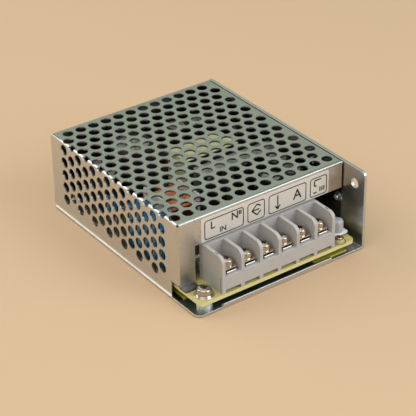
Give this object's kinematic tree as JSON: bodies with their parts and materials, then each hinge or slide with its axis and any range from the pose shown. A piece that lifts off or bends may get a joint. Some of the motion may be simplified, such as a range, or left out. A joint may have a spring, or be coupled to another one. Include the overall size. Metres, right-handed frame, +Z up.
{
  "type": "mesh case switching power supply",
  "caption": "Enclosed switching power supply with a perforated steel cover, an open front row of screw terminals, a lamp and a voltage trimmer.",
  "frame": {"origin": "middle of the underside's bounding box", "axes": "+Z up, -Y towards the terminals, +X towards the solid side wall"},
  "size_m": [0.082, 0.104, 0.035],
  "materials": {
    "case_steel": "satin galvanised sheet",
    "screw_steel": "zinc plated",
    "bright_nickel": "bright nickel plate",
    "label_film": "silver grey film",
    "insulator": "thin sheet",
    "board": "glass fibre laminate",
    "block_plastic": "moulded, fine grain",
    "lamp_lens": "diffusing",
    "white_plastic": "moulded",
    "black_plastic": "moulded",
    "brass": "turned",
    "ferrite": "sintered, matt",
    "yellow_tape": "polyester tape",
    "black_sleeve": "shrunk sleeve",
    "blue_case": "moulded case",
    "blue_epoxy": "dipped epoxy",
    "copper_wire": "enamelled wire",
    "aluminium": "bent strip",
    "fuse_glass": "clear",
    "resistor_body": "lacquered"
  },
  "bodies": {
    "housing": {"chassis": "case_steel", "mesh_cover": "case_steel", "cover_screws": "screw_steel", "front_label": "label_film", "insulating_sheet": "insulator", "standoffs": "screw_steel", "board_screws": "bright_nickel", "board_washers": "bright_nickel", "circuit_board": "board", "terminal_block": "block_plastic", "terminal_plates": "bright_nickel", "indicator_lamp": "lamp_lens", "trimmer_body": "white_plastic", "transformer_core": "ferrite", "transformer_bobbin": "black_plastic", "transformer_winding": "yellow_tape", "transformer_tape": "yellow_tape", "transformer_pins": "bright_nickel", "bulk_capacitor": "black_sleeve", "film_capacitor": "blue_case", "output_capacitors": "black_sleeve", "small_capacitors": "black_sleeve", "varistor": "blue_epoxy", "safety_capacitor": "blue_epoxy", "choke_core": "ferrite", "choke_windings": "copper_wire", "choke_base": "white_plastic", "heat_sink": "aluminium", "power_transistor": "black_plastic", "output_diode": "black_plastic", "insulating_pads": "insulator", "package_screws": "screw_steel", "fuse_tube": "fuse_glass", "fuse_caps": "bright_nickel", "fuse_clips": "bright_nickel", "bridge_rectifier": "black_plastic", "thermistor": "black_plastic", "inductor_core": "ferrite", "inductor_winding": "copper_wire", "optocoupler": "black_plastic", "control_chip": "black_plastic", "resistors": "resistor_body"},
    "clamp_1": {"clamp_washer_1": "bright_nickel"},
    "screw_1": {"terminal_screw_1": "bright_nickel"},
    "clamp_2": {"clamp_washer_2": "bright_nickel"},
    "screw_2": {"terminal_screw_2": "bright_nickel"},
    "clamp_3": {"clamp_washer_3": "bright_nickel"},
    "screw_3": {"terminal_screw_3": "bright_nickel"},
    "clamp_4": {"clamp_washer_4": "bright_nickel"},
    "screw_4": {"terminal_screw_4": "bright_nickel"},
    "clamp_5": {"clamp_washer_5": "bright_nickel"},
    "screw_5": {"terminal_screw_5": "bright_nickel"},
    "clamp_6": {"clamp_washer_6": "bright_nickel"},
    "screw_6": {"terminal_screw_6": "bright_nickel"},
    "trimmer": {"trimmer_rotor": "brass"}
  },
  "joints": [
    {"name": "clamp_1_lift", "type": "slide", "parent": "housing", "child": "clamp_1", "axis": [0, 0, 1], "range_m": [0, 0.0035]},
    {"name": "screw_1_turn", "type": "hinge", "parent": "clamp_1", "child": "screw_1", "pos_m": [-0.0236, -0.0466, 0.0159], "axis": [0, 0, 1], "range_deg": [0, 2520]},
    {"name": "clamp_2_lift", "type": "slide", "parent": "housing", "child": "clamp_2", "axis": [0, 0, 1], "range_m": [0, 0.0035]},
    {"name": "screw_2_turn", "type": "hinge", "parent": "clamp_2", "child": "screw_2", "pos_m": [-0.0147, -0.0466, 0.0159], "axis": [0, 0, 1], "range_deg": [0, 2520]},
    {"name": "clamp_3_lift", "type": "slide", "parent": "housing", "child": "clamp_3", "axis": [0, 0, 1], "range_m": [0, 0.0035]},
    {"name": "screw_3_turn", "type": "hinge", "parent": "clamp_3", "child": "screw_3", "pos_m": [-0.0058, -0.0466, 0.0159], "axis": [0, 0, 1], "range_deg": [0, 2520]},
    {"name": "clamp_4_lift", "type": "slide", "parent": "housing", "child": "clamp_4", "axis": [0, 0, 1], "range_m": [0, 0.0035]},
    {"name": "screw_4_turn", "type": "hinge", "parent": "clamp_4", "child": "screw_4", "pos_m": [0.0031, -0.0466, 0.0159], "axis": [0, 0, 1], "range_deg": [0, 2520]},
    {"name": "clamp_5_lift", "type": "slide", "parent": "housing", "child": "clamp_5", "axis": [0, 0, 1], "range_m": [0, 0.0035]},
    {"name": "screw_5_turn", "type": "hinge", "parent": "clamp_5", "child": "screw_5", "pos_m": [0.012, -0.0466, 0.0159], "axis": [0, 0, 1], "range_deg": [0, 2520]},
    {"name": "clamp_6_lift", "type": "slide", "parent": "housing", "child": "clamp_6", "axis": [0, 0, 1], "range_m": [0, 0.0035]},
    {"name": "screw_6_turn", "type": "hinge", "parent": "clamp_6", "child": "screw_6", "pos_m": [0.0209, -0.0466, 0.0159], "axis": [0, 0, 1], "range_deg": [0, 2520]},
    {"name": "trimmer_turn", "type": "hinge", "parent": "housing", "child": "trimmer", "pos_m": [0.0302, -0.0489, 0.0075], "axis": [0, 0, 1], "range_deg": [-120, 120]}
  ],
  "couplings": [
    {"joint": "screw_1_turn", "follows": "clamp_1_lift", "rad_per_m": 12566},
    {"joint": "screw_2_turn", "follows": "clamp_2_lift", "rad_per_m": 12566},
    {"joint": "screw_3_turn", "follows": "clamp_3_lift", "rad_per_m": 12566},
    {"joint": "screw_4_turn", "follows": "clamp_4_lift", "rad_per_m": 12566},
    {"joint": "screw_5_turn", "follows": "clamp_5_lift", "rad_per_m": 12566},
    {"joint": "screw_6_turn", "follows": "clamp_6_lift", "rad_per_m": 12566}
  ]
}
